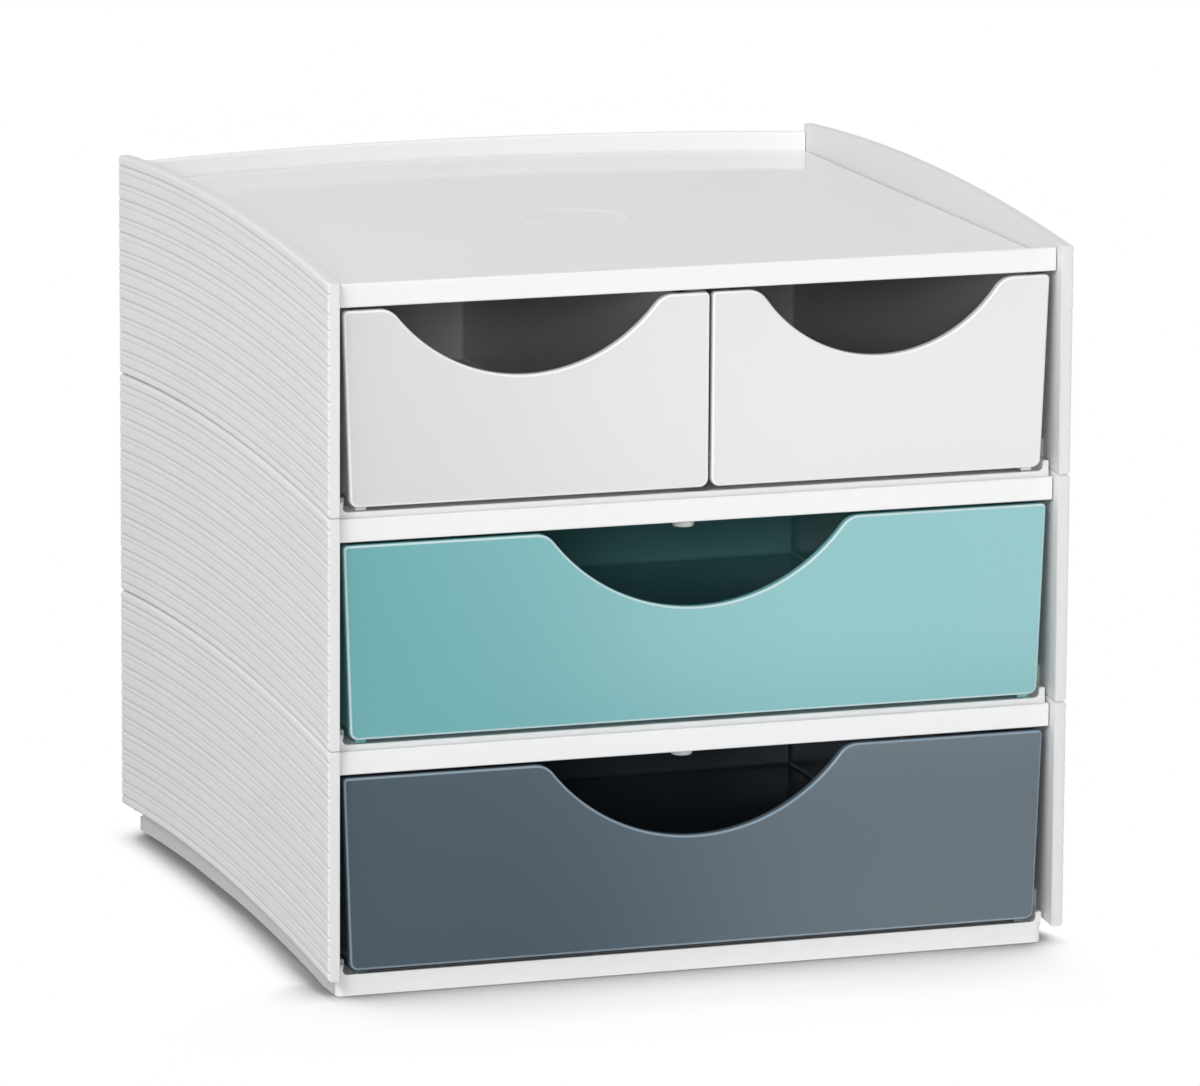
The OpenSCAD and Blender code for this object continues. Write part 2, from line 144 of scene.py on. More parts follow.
def turn(bm, vert, cx, cz, degrees, steps):
    """Carries an outline on by an arc round a centre, clockwise as seen from the front."""
    done = bmesh.ops.spin(bm, geom=[vert], cent=(cx, vert.co.y, cz), axis=(0, 1, 0),
                          angle=math.radians(degrees), steps=steps)
    return verts_in(done["geom_last"])[0]


def crown_to(bm, vert, y, steps=40):
    """Carries an outline in the Y-Z plane on along the crowned line to another depth."""
    lean = [math.asin((CROWN_BACK - at) / CROWN_R) for at in (vert.co.y, y)]
    centre = (vert.co.x, CROWN_BACK, vert.co.z - CROWN_R * math.cos(lean[0]))
    done = bmesh.ops.spin(bm, geom=[vert], cent=centre, axis=(1, 0, 0), angle=lean[1] - lean[0], steps=steps)
    return verts_in(done["geom_last"])[0]


def close(bm, vert, first, vec):
    """Closes an outline and gives it a thickness."""
    bm.edges.new((vert, first))
    pull(bm, fill(bm), vec)


def fill(bm):
    """Closes the open outline's edges with one face."""
    bmesh.ops.remove_doubles(bm, verts=bm.verts, dist=0.0005)
    loose = [e for e in bm.edges if not e.link_faces]
    return bmesh.ops.contextual_create(bm, geom=loose)["faces"][0]


def pull(bm, face, vec):
    """Gives a face a thickness, so that it becomes a closed slab."""
    made = bmesh.ops.extrude_face_region(bm, geom=[face], use_keep_orig=True)
    bmesh.ops.translate(bm, verts=verts_in(made["geom"]), vec=vec)


def soften(bm, edges, radius, segments=3):
    """Rounds edges off."""
    bmesh.ops.bevel(bm, geom=edges, offset=radius, offset_type="OFFSET", segments=segments,
                    profile=0.5, affect="EDGES", clamp_overlap=True, material=-1)


def block(bm, low, high):
    """Makes a box between two opposite corners, and gives back its vertices."""
    made = bmesh.ops.create_cube(bm, size=1)["verts"]
    bmesh.ops.scale(bm, verts=made, vec=[high[i] - low[i] for i in range(3)])
    bmesh.ops.translate(bm, verts=made, vec=[(high[i] + low[i]) / 2 for i in range(3)])
    return made


def edges_where(bm, test):
    """Edges whose two ends both pass a test."""
    return [e for e in bm.edges if all(test(v.co) for v in e.verts)]


def cut(bm, point, normal, **settings):
    """Cuts everything along a plane."""
    bmesh.ops.bisect_plane(bm, geom=bm.verts[:] + bm.edges[:] + bm.faces[:], plane_co=point,
                           plane_no=normal, **settings)


def trim(bm, point, normal):
    """Cuts off what lies beyond a plane and closes the cut."""
    cut(bm, point, normal, clear_outer=True, dist=1e-4)
    bmesh.ops.holes_fill(bm, edges=[e for e in bm.edges if len(e.link_faces) == 1], sides=0)


def join(bm, other):
    """Adds another mesh to this one."""
    mesh = bpy.data.meshes.new("part")
    other.to_mesh(mesh)
    other.free()
    bm.from_mesh(mesh)
    bpy.data.meshes.remove(mesh)


def mirrored(bm, part):
    """Adds a part and its mirror image in the middle plane."""
    twin = part.copy()
    bmesh.ops.scale(twin, verts=twin.verts, vec=(-1, 1, 1))
    bmesh.ops.reverse_faces(twin, faces=twin.faces)
    join(bm, part)
    join(bm, twin)


def piece(bm, name, level, node, material, body="cabinet", crease=32):
    """Moves a finished mesh from millimetres into the frame, and hands it over as a piece."""
    bmesh.ops.remove_doubles(bm, verts=bm.verts, dist=0.0005)
    bmesh.ops.recalc_face_normals(bm, faces=bm.faces)
    bmesh.ops.translate(bm, verts=bm.verts, vec=(0, -DEPTH / 2, level))
    bmesh.ops.scale(bm, verts=bm.verts, vec=(0.001, 0.001, 0.001))
    for f in bm.faces:
        f.smooth = True
    for e in bm.edges:
        e.smooth = len(e.link_faces) == 2 and e.calc_face_angle(0) < math.radians(crease)
    mesh = bpy.data.meshes.new(name)
    bm.to_mesh(mesh)
    bm.free()
    mesh.materials.append(material)
    made = bpy.data.objects.new(name, mesh)
    bpy.context.scene.collection.objects.link(made)
    # Flat faces stay flat, and the roundings between them shade smoothly
    normals = made.modifiers.new("normals", "WEIGHTED_NORMAL")
    normals.keep_sharp = True
    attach(made, body)
    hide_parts(node)
    return made


# ---- Materials ------------------------------------------------------------------------------
# The mould's grain and its depth, and the flow marks, in millimetres
GRAIN_MM, GRAIN_DEEP_MM, FLOW_MM = 0.4, 0.04, 60
# How far the flow marks change the roughness, and the colour's share at their two ends
FLOW_GLOSS, FLOW_TINTS = 0.01, (0.985, 1.005)


def linear(code):
    """sRGB hex to the linear colour that shaders take."""
    parts = [int(code[i:i + 2], 16) / 255 for i in (1, 3, 5)]
    return [c / 12.92 if c <= 0.04045 else ((c + 0.055) / 1.055) ** 2.4 for c in parts] + [1.0]


def add(tree, kind, links=(), **settings):
    """Adds a node, sets its sockets and properties, and links other nodes' outputs into it."""
    node = tree.nodes.new(kind)
    for key, value in settings.items():
        key = key.replace("_", " ") if key.replace("_", " ") in node.inputs else key
        if key in node.inputs:
            node.inputs[key].default_value = value
        else:
            setattr(node, key, value)
    for socket, source in links:
        tree.links.new(source, node.inputs[socket])
    return node


def moulded(name, code, roughness, texture=0.1, ior=1.53, line=None):
    """Injection-moulded plastic: an even colour, the mould's fine texture, faint flow marks, and an optional
    second colour for painted shade or painted highlight.
    """
    mat = bpy.data.materials.new(name)
    mat.use_nodes = True
    tree = mat.node_tree
    tree.nodes.clear()
    place = add(tree, "ShaderNodeTexCoord").outputs["Object"]
    # Spark-eroded mould texture, drawn at 0.4 mm because its real grains are too fine to show
    grain = add(tree, "ShaderNodeTexNoise", [("Vector", place)], Scale=1000 / GRAIN_MM, Detail=2.0)
    bump = add(tree, "ShaderNodeBump", [("Height", grain.outputs["Fac"])],
               Strength=texture, Distance=GRAIN_DEEP_MM / 1000)
    # Flow marks, soft patches some 60 mm wide where the melt cooled at another rate
    flow = add(tree, "ShaderNodeTexNoise", [("Vector", place)], Scale=1000 / FLOW_MM, Detail=0.0)
    gloss = add(tree, "ShaderNodeMapRange", [("Value", flow.outputs["Fac"])], From_Min=0.3, From_Max=0.7,
                To_Min=roughness - FLOW_GLOSS, To_Max=roughness + FLOW_GLOSS)
    colour = linear(code)
    tint = add(tree, "ShaderNodeValToRGB", [("Fac", flow.outputs["Fac"])])
    for stop, share in zip(tint.color_ramp.elements, FLOW_TINTS):
        stop.color = [min(1.0, c * share) for c in colour[:3]] + [1.0]
    shown = tint.outputs["Color"]
    if line:
        # Second colour along marked lines: a painted highlight on the rounding round a face, painted shade
        # at the bottom of a groove, along joints and under overhangs
        along = add(tree, "ShaderNodeAttribute", attribute_name="line")
        drawn = add(tree, "ShaderNodeMix", data_type="RGBA")
        drawn.inputs[7].default_value = linear(line)
        tree.links.new(along.outputs["Fac"], drawn.inputs[0])
        tree.links.new(shown, drawn.inputs[6])
        shown = drawn.outputs[2]
    shade = add(tree, "ShaderNodeBsdfPrincipled",
                [("Base Color", shown), ("Roughness", gloss.outputs["Result"]),
                 ("Normal", bump.outputs["Normal"])], IOR=ior)
    add(tree, "ShaderNodeOutputMaterial", [("Surface", shade.outputs["BSDF"])])
    return mat


# ABS from a textured mould: a soft, satin light grey that spreads each light wide over the ribs; its darker
# second colour is painted shade in the grooves, along the joints, on the lips and on the base's skirts
grey_abs = moulded("grey_abs_satin", "#e8e8e8", 0.45, line="#d0d0d0")
# ABS from a smooth mould: a clean white with a low gloss, on strips, trays, base and backs
white_abs = moulded("white_abs_smooth", "#f5f5f5", 0.35)
# ABS from a polished mould: the plate mirrors the back panel's rim and the room softly
plate_abs = moulded("white_abs_polished", "#f1f1f1", 0.08, texture=0.02)
# Polystyrene from polished moulds: clear gloss over a solid colour, with a lighter second colour painted on
# the front rounding as a highlight
white_ps = moulded("white_polystyrene", "#dcdcdc", 0.2, texture=0.04, ior=1.59, line="#fbfbfb")
teal_ps = moulded("teal_polystyrene", "#74b4b7", 0.2, texture=0.04, ior=1.59, line="#cfe3e6")
slate_ps = moulded("slate_polystyrene", "#52616c", 0.2, texture=0.04, ior=1.59, line="#8a9dac")


# ---- Side panels: a ribbed profile carried back along the crowned line -------------------------
def groove_places():
    """Distances of the grooves' middles under a panel's upper edge."""
    places, at = [], CADENCE[0] * GROOVE_STEP
    while at < TIER - LAST_STRIP:
        places.append(at)
        at += CADENCE[len(places) % 4] * GROOVE_STEP
    return places


def shade_lines(bm, line, low):
    """Paints shade at the bottoms of the grooves and along the lower edge, where the joint's shadow falls.
    """
    for vert in bm.verts:
        deep = SIDE_OUT - vert.co.x
        if 0.1 < vert.co.y < PANEL_DEPTH - 0.1 and vert.co.z < -PLAIN_EDGE:
            if vert.co.z < low + SEAM_LINE:
                vert[line] = SHADE
            elif deep < SKIN and vert.co.z > low + PLAIN_EDGE:
                vert[line] = min(SHADE, max(0.0, (deep - SHADE_FROM) / SHADE_OVER))


def side_panel(node, level, left):
    """Ribbed panel, drawn as its front outline, with the ledge for the plate and the lip at its foot."""
    bm = bmesh.new()
    low = SEAM - TIER
    arc_x = SIDE_OUT - ROUND_OUT
    first = v = bm.verts.new((SIDE_IN, 0, low + ROUND_IN))
    for x, z in ((SIDE_IN, -ROUND_IN), (SIDE_IN + ROUND_IN_BEND, -ROUND_IN_BEND), (SIDE_IN + ROUND_IN, 0),
                 (arc_x, 0)):
        v = line_to(bm, v, x=x, z=z)
    v = turn(bm, v, arc_x, -ROUND_OUT, 90, 5)
    for i, at in enumerate(groove_places()):
        for step, deep in GROOVE:
            v = line_to(bm, v, x=SIDE_OUT - deep * DEPTHS[i % 4], z=-at - step)
    v = line_to(bm, v, x=SIDE_OUT, z=low + ROUND_OUT)
    v = turn(bm, v, arc_x, low + ROUND_OUT, 90, 5)
    for x, z in ((SIDE_IN + ROUND_IN, low), (SIDE_IN + ROUND_IN_BEND, low + ROUND_IN_BEND)):
        v = line_to(bm, v, x=x, z=z)
    close(bm, v, first, (0, PANEL_DEPTH, 0))
    for y in CUTS:
        cut(bm, (0, y, 0), (0, 1, 0), dist=1e-5)
    line = bm.verts.layers.float.new("line")
    shade_lines(bm, line, low)
    # The upright edges are rounded, more on the outside, and then the whole panel follows the crown
    for vert in bm.verts:
        near = min(vert.co.y, PANEL_DEPTH - vert.co.y, ROUND_UPRIGHT)
        ease = ROUND_UPRIGHT - math.sqrt(ROUND_UPRIGHT ** 2 - (ROUND_UPRIGHT - near) ** 2)
        if vert.co.x > SIDE_OUT - EASED:
            vert.co.x -= ease * min(1, (vert.co.x - SIDE_OUT + EASED) / EASED_LESS)
        elif vert.co.x < SIDE_IN + 0.2:
            vert.co.x += ease * 0.5
        vert.co.z += crown(vert.co.y)
    # Ledge under the plate, and the lip that stands on the rail inside the panel below
    front, back = TRAY_FRONT + POST_D, BACK_IN - LEDGE
    block(bm, (SIDE_IN - LEDGE, front, PLATE_LOW - LEDGE_H), (SIDE_IN + 0.5, back, PLATE_LOW))
    lip_top = CROWN_RISE + SEAM + LEDGE_H - TIER
    # The lip is painted in full shade with the darker second colour
    for vert in block(bm, (SIDE_IN - LEDGE, front, RAIL_TOP - TIER), (SIDE_IN - PLAY, back, lip_top)):
        vert[line] = SHADE
    # The lip's root, which starts above the panel below and grows into this one
    root = bmesh.new()
    first = v = root.verts.new((SIDE_IN - PLAY - 0.01, front, lip_top))
    v = line_to(root, v, z=crown(front) + SEAM + 0.01 - TIER)
    v = crown_to(root, v, back)
    v = line_to(root, v, z=lip_top)
    close(root, v, first, (0.8, 0, 0))
    join(bm, root)
    if left:
        bmesh.ops.scale(bm, verts=bm.verts, vec=(-1, 1, 1))
    piece(bm, node + "_ribbed", level, node, grey_abs, crease=60)


for tier, level in TIERS:
    side_panel(f"side_{tier}_left", level, True)
    side_panel(f"side_{tier}_right", level, False)


# ---- Plates, back panels, trays and base -------------------------------------------------------
def plan_face(bm, half, front, radius, z, corner=0.0):
    """Flat face with a straight front and sides and a back along the arc of the back panels."""
    side = half
    back_y = BACK_CY + math.sqrt(radius ** 2 - half ** 2)
    if corner:
        # The 45 degree cut across a back corner meets the arc where the two lines cross
        edge = half + back_y - corner - BACK_CY
        side = (edge - math.sqrt(2 * radius ** 2 - edge ** 2)) / 2
    first = v = bm.verts.new((half, front, z))
    v = line_to(bm, v, y=back_y - corner)
    if corner:
        v = line_to(bm, v, x=side, y=BACK_CY + math.sqrt(radius ** 2 - side ** 2))
    done = bmesh.ops.spin(bm, geom=[v], cent=(0, BACK_CY, z), axis=(0, 0, 1),
                          angle=2 * math.asin(side / radius), steps=48)
    v = verts_in(done["geom_last"])[0]
    if corner:
        v = line_to(bm, v, x=-half, y=back_y - corner)
    v = line_to(bm, v, y=front)
    bm.edges.new((v, first))
    return fill(bm)


def ring_wall(r0, r1, z0, z1, half, round_top=0.0):
    """Upright wall along the back arc, its top edges rounded, its ends cut square to X."""
    bm = bmesh.new()
    first = v = bm.verts.new((r0, 0, z0))
    v = line_to(bm, v, z=z1 - round_top)
    if round_top:
        v = turn(bm, v, r0 + round_top, z1 - round_top, 90, 5)
        v = line_to(bm, v, x=r1 - round_top)
        v = turn(bm, v, r1 - round_top, z1 - round_top, 90, 5)
    else:
        v = line_to(bm, v, x=r1)
    v = line_to(bm, v, z=z0)
    bm.edges.new((v, first))
    bmesh.ops.remove_doubles(bm, verts=bm.verts, dist=0.0005)
    reach = math.asin(half / r0) + 0.01
    bmesh.ops.rotate(bm, verts=bm.verts, matrix=Matrix.Rotation(math.pi / 2 - reach, 3, "Z"))
    bmesh.ops.spin(bm, geom=bm.verts[:] + bm.edges[:], axis=(0, 0, 1), angle=2 * reach, steps=56)
    bmesh.ops.translate(bm, verts=bm.verts, vec=(0, BACK_CY, 0))
    trim(bm, (half, 0, 0), (1, 0, 0))
    trim(bm, (-half, 0, 0), (-1, 0, 0))
    return bm


def round_recess(bm):
    """Bare round recess in a plate's upper face, with a low bead along its edge, for a sticker."""
    top = max(bm.faces, key=lambda f: f.calc_center_median().z)
    rim = list(top.edges)
    bmesh.ops.delete(bm, geom=[top], context="FACES_ONLY")
    ring = bmesh.ops.create_circle(bm, segments=96, radius=RECESS_D / 2)["verts"]
    bmesh.ops.translate(bm, verts=ring, vec=(0, RECESS_BACK, -DISH))
    circle = list({e for v in ring for e in v.link_edges})
    bmesh.ops.triangle_fill(bm, edges=rim + circle, use_beauty=True)
    for radius, height in BEAD:
        made = bmesh.ops.extrude_edge_only(bm, edges=circle)["geom"]
        inner = verts_in(made)
        circle = [g for g in made if isinstance(g, bmesh.types.BMEdge) and all(v in inner for v in g.verts)]
        now = (inner[0].co - Vector((0, RECESS_BACK, inner[0].co.z))).length
        bmesh.ops.scale(bm, verts=inner, vec=(radius / now, radius / now, 1),
                        space=Matrix.Translation((0, -RECESS_BACK, 0)))
        bmesh.ops.translate(bm, verts=inner, vec=(0, 0, height - DISH - inner[0].co.z))
    bmesh.ops.contextual_create(bm, geom=circle)


def plate(node, level, recess=False):
    """Polished plate with the white strip along its front edge."""
    bm = bmesh.new()
    face = plan_face(bm, PLATE_HALF, STRIP_Y + 1, BACK_R - PLAY, PLATE_LOW)
    pull(bm, face, (0, 0, PLATE_T))
    if recess:
        round_recess(bm)
    strip = bmesh.new()
    block(strip, (-PLATE_HALF, STRIP_Y, STRIP_LOW), (PLATE_HALF, STRIP_Y + STRIP_T, STRIP_TOP))
    soften(strip, [e for e in strip.edges if e.calc_length() > PLATE_HALF], 0.6, 4)
    for f in strip.faces:
        f.material_index = 1
    join(bm, strip)
    made = piece(bm, node + "_moulding", level, node, plate_abs)
    made.data.materials.append(white_abs)


def back_panel(node, level):
    """Curved panel, the ledge under the plate, and the lip that stands on the tray below."""
    low = RIM - TIER + SEAM
    half = SIDE_IN - PLAY
    bm = ring_wall(BACK_R, BACK_R + BACK_T, low, RIM, half, 1.2)
    join(bm, ring_wall(BACK_R - LEDGE, BACK_R + 0.5, PLATE_LOW - LEDGE_H, PLATE_LOW, half))
    join(bm, ring_wall(BACK_R - LEDGE - PLAY, BACK_R - PLAY, FLOOR - TIER, low + LEDGE_H, RAIL_IN))
    join(bm, ring_wall(BACK_R - 0.5, BACK_R + 0.5, low + 0.1, low + LEDGE_H, RAIL_IN))
    piece(bm, node + "_curved", level, node, white_abs, crease=40)


def tray_body(bm, radius, front):
    """Floor, two side rails and the slim posts that end them."""
    floor = bmesh.new()
    pull(floor, plan_face(floor, TRAY_HALF, front, radius, FLOOR - FLOOR_T, CORNER_CUT), (0, 0, FLOOR_T))
    soften(floor, edges_where(floor, lambda c: c.y < front + NEAR and c.z > FLOOR - NEAR), 0.5, 4)
    join(bm, floor)
    end = BACK_CY + math.sqrt((BACK_R - PLAY) ** 2 - TRAY_HALF ** 2) - CORNER_CUT
    rail = bmesh.new()
    block(rail, (RAIL_IN, TRAY_FRONT + POST_D, FLOOR - FLOOR_T + 0.1), (TRAY_HALF - 0.02, end, RAIL_TOP))
    soften(rail, edges_where(rail, lambda c: c.z > RAIL_TOP - NEAR), 0.3, 2)
    mirrored(bm, rail)
    # The post grows out of the floor with a round fillet on its inner side
    post = bmesh.new()
    inner = TRAY_HALF - POST_W
    first = v = post.verts.new((inner - FILLET, TRAY_FRONT + 0.2, FLOOR - 0.3))
    v = line_to(post, v, z=FLOOR)
    v = turn(post, v, inner - FILLET, FLOOR + FILLET, -90, 5)
    for x, z in ((inner, RAIL_TOP - 0.2), (inner + 0.2, RAIL_TOP), (TRAY_HALF - 0.3, RAIL_TOP),
                 (TRAY_HALF - 0.02, RAIL_TOP - 0.3), (TRAY_HALF - 0.02, FLOOR - 0.3)):
        v = line_to(post, v, x=x, z=z)
    close(post, v, first, (0, POST_D, 0))
    mirrored(bm, post)


def tray(node, level):
    """Tray of an upper tier, with a shallow skirt under it that stands on the plate below."""
    bm = bmesh.new()
    radius = BACK_R - PLAY
    tray_body(bm, radius, TRAY_FRONT)
    skirt = bmesh.new()
    under = plan_face(skirt, TRAY_HALF - 0.01, TRAY_FRONT + 0.05, radius - 0.01, -DISH, CORNER_CUT)
    pull(skirt, under, (0, 0, DISH + FLOOR - FLOOR_T + 0.1))
    low = min(skirt.faces, key=lambda f: f.calc_center_median().z)
    bmesh.ops.inset_region(skirt, faces=[low], thickness=SKIRT)
    bmesh.ops.translate(skirt, verts=low.verts, vec=(0, 0, DISH + FLOOR - FLOOR_T))
    join(bm, skirt)
    piece(bm, node + "_moulding", level, node, white_abs)


def base():
    """The lowest tray, on a foot bar in front, arched skirts at the sides and a foot at the back."""
    bm = bmesh.new()
    radius = BACK_R + BACK_T
    tray_body(bm, radius, TRAY_FRONT + 1)
    beam = bmesh.new()
    block(beam, (-TRAY_HALF, TRAY_FRONT, -BASE), (TRAY_HALF, TRAY_FRONT + SKIRT, FLOOR))
    upright = [e for e in edges_where(beam, lambda c: c.y < TRAY_FRONT + NEAR)
               if abs(e.verts[0].co.x - e.verts[1].co.x) < 1]
    soften(beam, upright, BASE_CORNER, 8)
    soften(beam, edges_where(beam, lambda c: c.z > FLOOR - NEAR or c.z < NEAR - BASE), 0.5, 4)
    join(bm, beam)
    # Side skirts, which follow the crowned line and are cut across the back corners
    skirt = bmesh.new()
    back_y = BACK_CY + math.sqrt(radius ** 2 - TRAY_HALF ** 2)
    foot_y = CROWN_BACK - math.sqrt(CROWN_R ** 2 - (CROWN_R - ARCH_H) ** 2)
    first = v = skirt.verts.new((TRAY_HALF - 0.01, TRAY_FRONT + SKIRT - 0.3, FLOOR - 0.1))
    v = line_to(skirt, v, z=-BASE)
    v = line_to(skirt, v, y=foot_y)
    v = crown_to(skirt, v, back_y)
    v = line_to(skirt, v, z=FLOOR - 0.1)
    close(skirt, v, first, (-SIDE_SKIRT, 0, 0))
    trim(skirt, (TRAY_HALF, back_y - CORNER_CUT, 0), (1, 1, 0))
    mirrored(bm, skirt)
    # Its outer sides take the panels' grey and the full second colour: painted shade for the shadow under
    # the panels' overhang
    bm.normal_update()
    line = bm.verts.layers.float.new("line")
    for f in bm.faces:
        middle = f.calc_center_median()
        if abs(middle.x) > TRAY_HALF - 0.1 and abs(f.normal.x) > 0.9 and middle.y > TRAY_FRONT + SKIRT:
            f.material_index = 1
            for vert in f.verts:
                vert[line] = SHADE
    # Rim under the lowest back panel, and the back foot
    join(bm, ring_wall(BACK_R, radius - 0.01, FLOOR - 0.3, RIM, TRAY_HALF - CORNER_CUT * 1.5, 0.6))
    join(bm, ring_wall(radius - SKIRT, radius - 0.05, -BASE, FLOOR - FLOOR_T + 0.3, BACK_FOOT / 2))
    made = piece(bm, "base_moulding", BASE, "base", white_abs)
    made.data.materials.append(grey_abs)


base()
tray("tray_middle", BASE + TIER)
tray("tray_top", BASE + 2 * TIER)
for tier, level in TIERS:
    back_panel("back_" + tier, level)
    plate("plate_" + tier, level, recess=tier == "top")


# ---- Drawers -----------------------------------------------------------------------------------
def corner_x(x, radius, slope, side, up):
    """Middle of a corner's arc between a level edge and a side that leans by the slope."""
    return x + side * radius * (math.sqrt(1 + slope * slope) + up * slope)


def face_slab(x0, x1, taper0, taper1, cut_half, cut_deep):
    """Drawer face with rounded corners and a scooped finger cut-out, every front edge rounded."""
    bm = bmesh.new()
    high, low = FACE_TOP, FACE_LOW
    drop = high - low
    mid = (x0 + x1) / 2
    bowl = (cut_half ** 2 + cut_deep ** 2) / (2 * cut_deep) - SHOULDER
    # Angle that each shoulder turns through before it runs into the bowl
    lean = math.degrees(math.asin(cut_half / (bowl + SHOULDER)))
    lean0, lean1 = (math.degrees(math.atan(t / drop)) for t in (taper0, taper1))
    top_left = corner_x(x0, CORNER_TOP, taper0 / drop, 1, 1)
    top_right = corner_x(x1, CORNER_TOP, taper1 / drop, -1, 1)
    low_left = corner_x(x0 + taper0, CORNER_LOW, taper0 / drop, 1, -1)
    low_right = corner_x(x1 - taper1, CORNER_LOW, taper1 / drop, -1, -1)
    first = v = bm.verts.new((top_left, STRIP_Y, high))
    v = line_to(bm, v, x=mid - cut_half)
    v = turn(bm, v, mid - cut_half, high - SHOULDER, lean, 8)
    v = turn(bm, v, mid, high + bowl - cut_deep, -2 * lean, 40)
    v = turn(bm, v, mid + cut_half, high - SHOULDER, lean, 8)
    v = line_to(bm, v, x=top_right, z=high)
    v = turn(bm, v, top_right, high - CORNER_TOP, 90 + lean1, 6)
    v = line_to(bm, v, x=low_right + CORNER_LOW * math.cos(math.radians(lean1)),
                z=low + CORNER_LOW - CORNER_LOW * math.sin(math.radians(lean1)))
    v = turn(bm, v, low_right, low + CORNER_LOW, 90 - lean1, 6)
    v = line_to(bm, v, x=low_left, z=low)
    v = turn(bm, v, low_left, low + CORNER_LOW, 90 - lean0, 6)
    v = line_to(bm, v, x=top_left - CORNER_TOP * math.cos(math.radians(lean0)),
                z=high - CORNER_TOP - CORNER_TOP * math.sin(math.radians(lean0)))
    turn(bm, v, top_left, high - CORNER_TOP, 90 + lean0, 6)
    pull(bm, fill(bm), (0, FACE_T, 0))
    soften(bm, edges_where(bm, lambda c: c.y < STRIP_Y + NEAR), 1.0, 4)
    soften(bm, edges_where(bm, lambda c: c.y > STRIP_Y + FACE_T - NEAR), 0.4, 2)
    # Painted highlight: the lighter second colour along the face's front rounding
    line = bm.verts.layers.float.new("line")
    for vert in bm.verts:
        vert[line] = float(PAINTED_HIGHLIGHT_FROM < vert.co.y < PAINTED_HIGHLIGHT_TO)
    return bm


def open_box(x0, x1):
    """Box behind the face, open at the top and at the front, with rounded corners inside and out."""
    bm = bmesh.new()
    block(bm, (x0, BOX_FRONT, BOX_LOW), (x1, BOX_END, BOX_TOP))
    doomed = [f for f in bm.faces if f.calc_center_median().z > BOX_TOP - NEAR
              or f.calc_center_median().y < BOX_FRONT + NEAR]
    bmesh.ops.delete(bm, geom=doomed, context="FACES_ONLY")
    soften(bm, [e for e in bm.edges if len(e.link_faces) == 2], BOX_CORNER, 5)
    bmesh.ops.recalc_face_normals(bm, faces=bm.faces)
    side = max(bm.faces, key=lambda f: f.calc_center_median().x)
    if side.normal.x < 0:
        bmesh.ops.reverse_faces(bm, faces=bm.faces)
    bmesh.ops.solidify(bm, geom=bm.faces[:], thickness=WALL)
    rim = [e for e in edges_where(bm, lambda c: c.z > BOX_TOP - NEAR) if e.calc_length() > 0.5
           and len(e.link_faces) == 2 and e.calc_face_angle(0) > 1]
    soften(bm, rim, 0.35, 2)
    return bm


def runner(bm, x, front):
    """One runner under the box, from a distance behind the front edges to its back wall."""
    part = bmesh.new()
    block(part, (x, front, RUNNER_LOW), (x + RUNNER_W, BOX_END - 0.2, BOX_LOW + 0.3))
    soften(part, edges_where(part, lambda c: c.z < RUNNER_LOW + NEAR), 0.5)
    join(bm, part)


def wide_drawer(node, level, material):
    """Full-width drawer: face, open box and two runners."""
    bm = face_slab(-FACE_HALF, FACE_HALF, FACE_TAPER, FACE_TAPER, WIDE_CUT_HALF, WIDE_CUT_DEEP)
    join(bm, open_box(-BOX_HALF, BOX_HALF))
    runner(bm, -BOX_HALF + RUNNER_IN, RUNNER_FRONT)
    runner(bm, BOX_HALF - RUNNER_IN - RUNNER_W, RUNNER_FRONT)
    piece(bm, node + "_tub", level, node, material, node)


def half_drawer(node, side):
    """Half-width drawer of the top tier, on the left (-1) or on the right (1)."""
    inner, outer = CENTRE + side * CENTRE_GAP / 2, side * FACE_HALF
    box_inner, box_outer = inner + side * CHANNEL, side * BOX_HALF
    x0, x1 = min(inner, outer), max(inner, outer)
    tapers = (FACE_TAPER, 0) if side < 0 else (0, FACE_TAPER)
    bm = face_slab(x0, x1, tapers[0], tapers[1], (x1 - x0) / 2 - SMALL_CUT_EDGE, SMALL_CUT_DEEP)
    join(bm, open_box(min(box_inner, box_outer), max(box_inner, box_outer)))
    near, far = (-RUNNER_IN - RUNNER_W, RUNNER_IN) if side < 0 else (RUNNER_IN, -RUNNER_IN - RUNNER_W)
    runner(bm, box_outer + far, RUNNER_FRONT)
    runner(bm, box_inner + near, GUIDE_FRONT)
    # Tab across the channel, rooted inside the box's side wall, which meets the stop peg
    tab = bmesh.new()
    block(tab, (min(inner, box_inner), BOX_END - WALL, BOX_TOP - TAB_H),
          (max(inner, box_inner), BOX_END, BOX_TOP))
    root = [v for v in tab.verts if abs(v.co.x - box_inner) < NEAR]
    bmesh.ops.translate(tab, verts=root, vec=(side * TAB_ROOT, 0, 0))
    soften(tab, edges_where(tab, lambda c: abs(c.x - inner) < NEAR), 0.4, 2)
    join(bm, tab)
    piece(bm, node + "_tub", TOP, node, white_ps, node)


wide_drawer("drawer_bottom", BOTTOM, slate_ps)
wide_drawer("drawer_middle", MIDDLE, teal_ps)
half_drawer("drawer_top_left", -1)
half_drawer("drawer_top_right", 1)


# ---- Pegs and centre guide ---------------------------------------------------------------------
def rod(bm, x, z, diameter, length, segments):
    """Round bar with its middle at a height, at the pegs' distance from the front."""
    made = bmesh.ops.create_cone(bm, segments=segments, radius1=diameter / 2, radius2=diameter / 2,
                                 depth=length, cap_ends=True)["verts"]
    bmesh.ops.translate(bm, verts=made, vec=(x, PEG_BACK, z))


